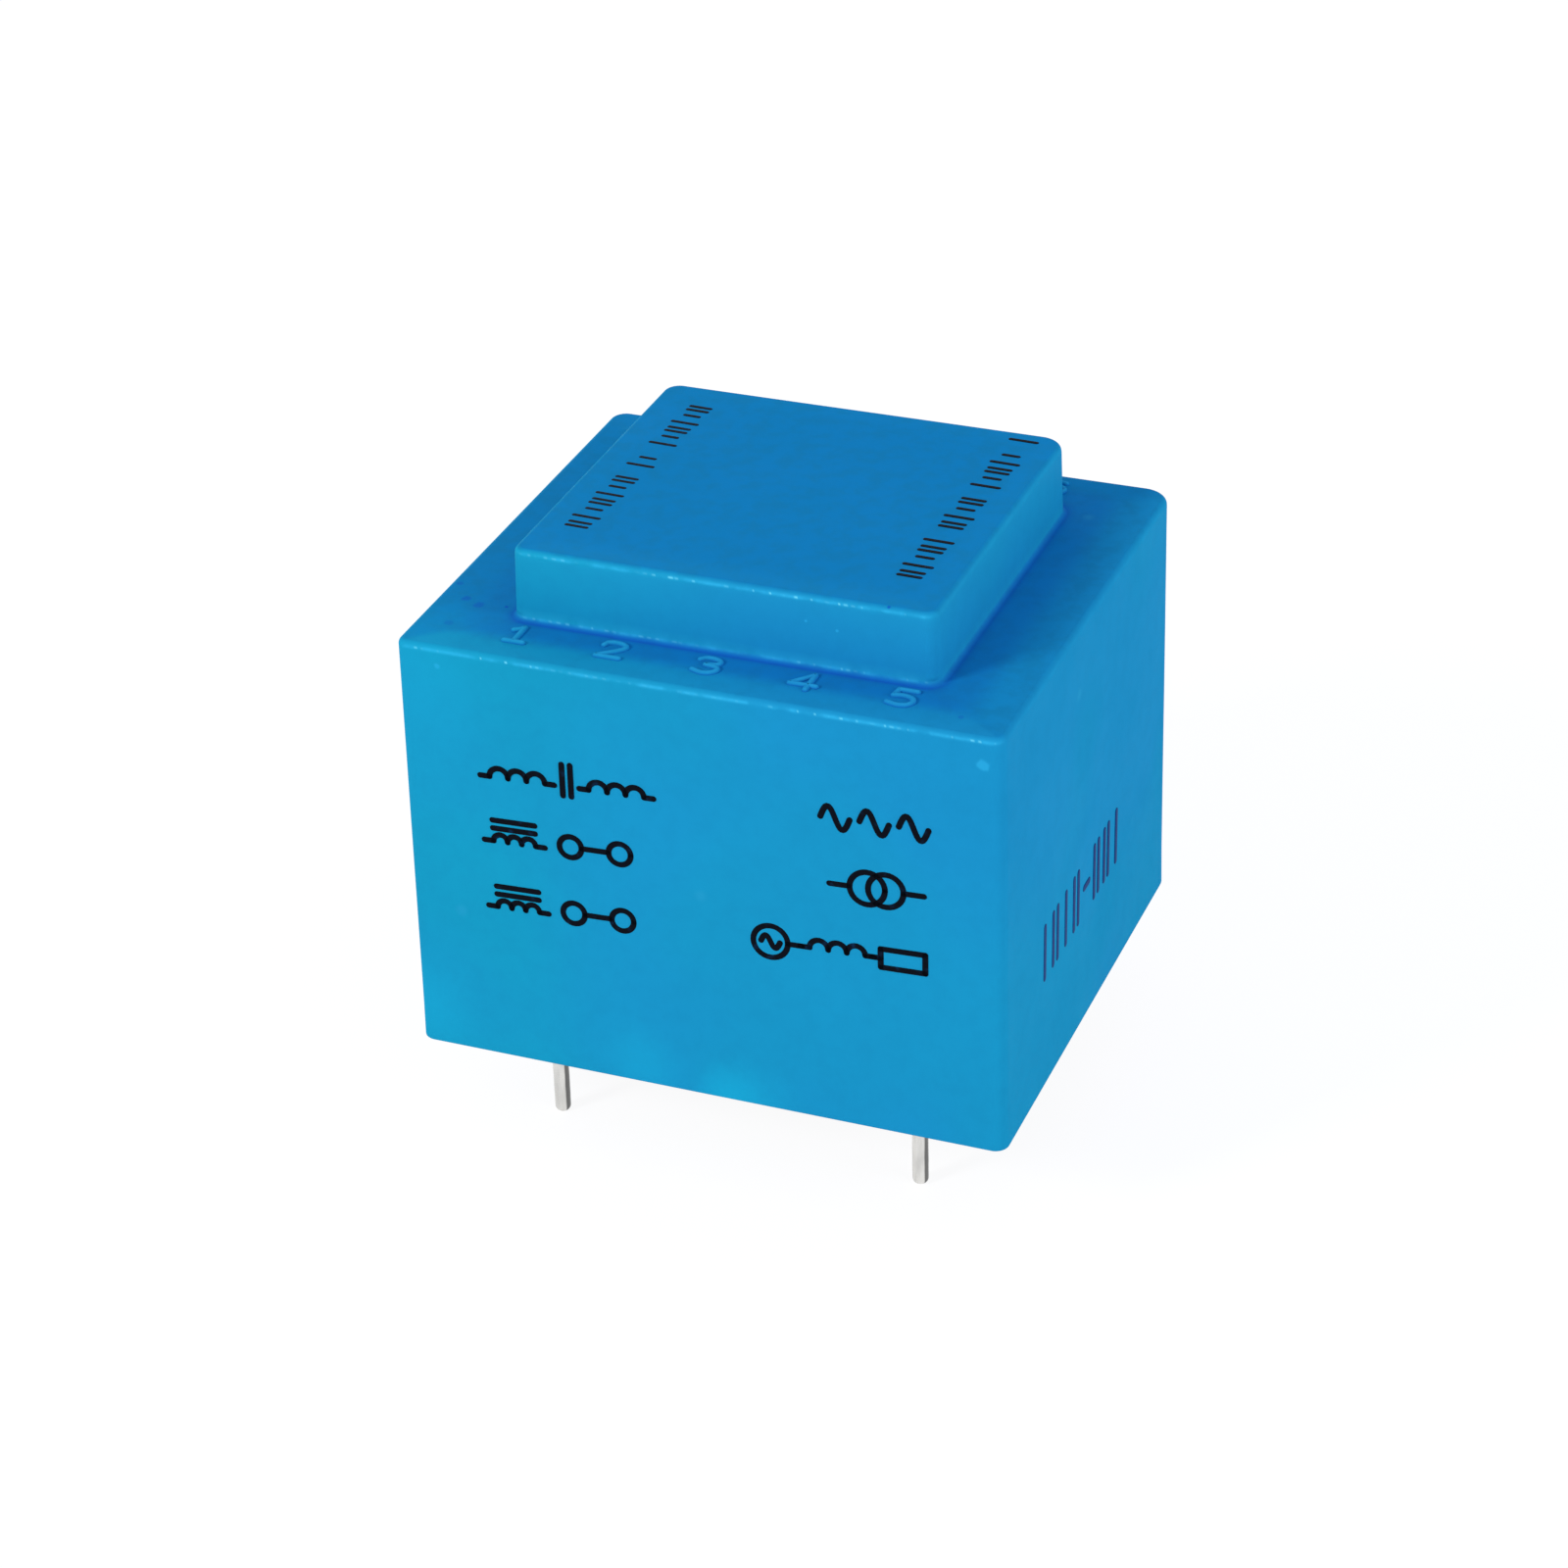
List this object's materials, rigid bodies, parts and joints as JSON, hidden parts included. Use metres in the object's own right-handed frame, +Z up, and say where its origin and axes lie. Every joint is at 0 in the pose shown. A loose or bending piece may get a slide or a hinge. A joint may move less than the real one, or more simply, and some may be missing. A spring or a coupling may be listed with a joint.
{
  "type": "encapsulated pcb transformer",
  "caption": "Small encapsulated mains transformer for a circuit board: stepped blue plastic cup with a raised square on top, filled with resin, on round tinned pins.",
  "frame": {"origin": "centre of the pin pattern on the seating plane, which is the rim of the cup; the pins reach below it", "axes": "+X along the front pin row from pin 1 to pin 5, +Y from the front face to the rear face, +Z up, away from the board"},
  "size_m": [0.0318, 0.0282, 0.0329],
  "materials": {
    "case_plastic": "satin, moulded",
    "resin": "cured, slightly glossy",
    "bobbin_plastic": "moulded",
    "lamination_steel": "rolled and annealed",
    "copper": "enamelled copper",
    "tape": "polyester tape",
    "tinned_pin": "tinned",
    "solder": "solder"
  },
  "bodies": {
    "root": {"case": "case_plastic", "potting_resin": "resin", "bobbin": "bobbin_plastic", "e_laminations_front": "lamination_steel", "e_laminations_rear": "lamination_steel", "i_laminations_front": "lamination_steel", "i_laminations_rear": "lamination_steel", "primary_winding": "copper", "secondary_winding": "copper", "primary_tape": "tape", "secondary_tape": "tape", "primary_lead_1": "copper", "primary_lead_5": "copper", "secondary_lead_7": "copper", "secondary_lead_9": "copper", "solder_1": "solder", "solder_5": "solder", "solder_7": "solder", "solder_9": "solder", "pin_1": "tinned_pin", "pin_5": "tinned_pin", "pin_7": "tinned_pin", "pin_9": "tinned_pin"}
  },
  "joints": []
}
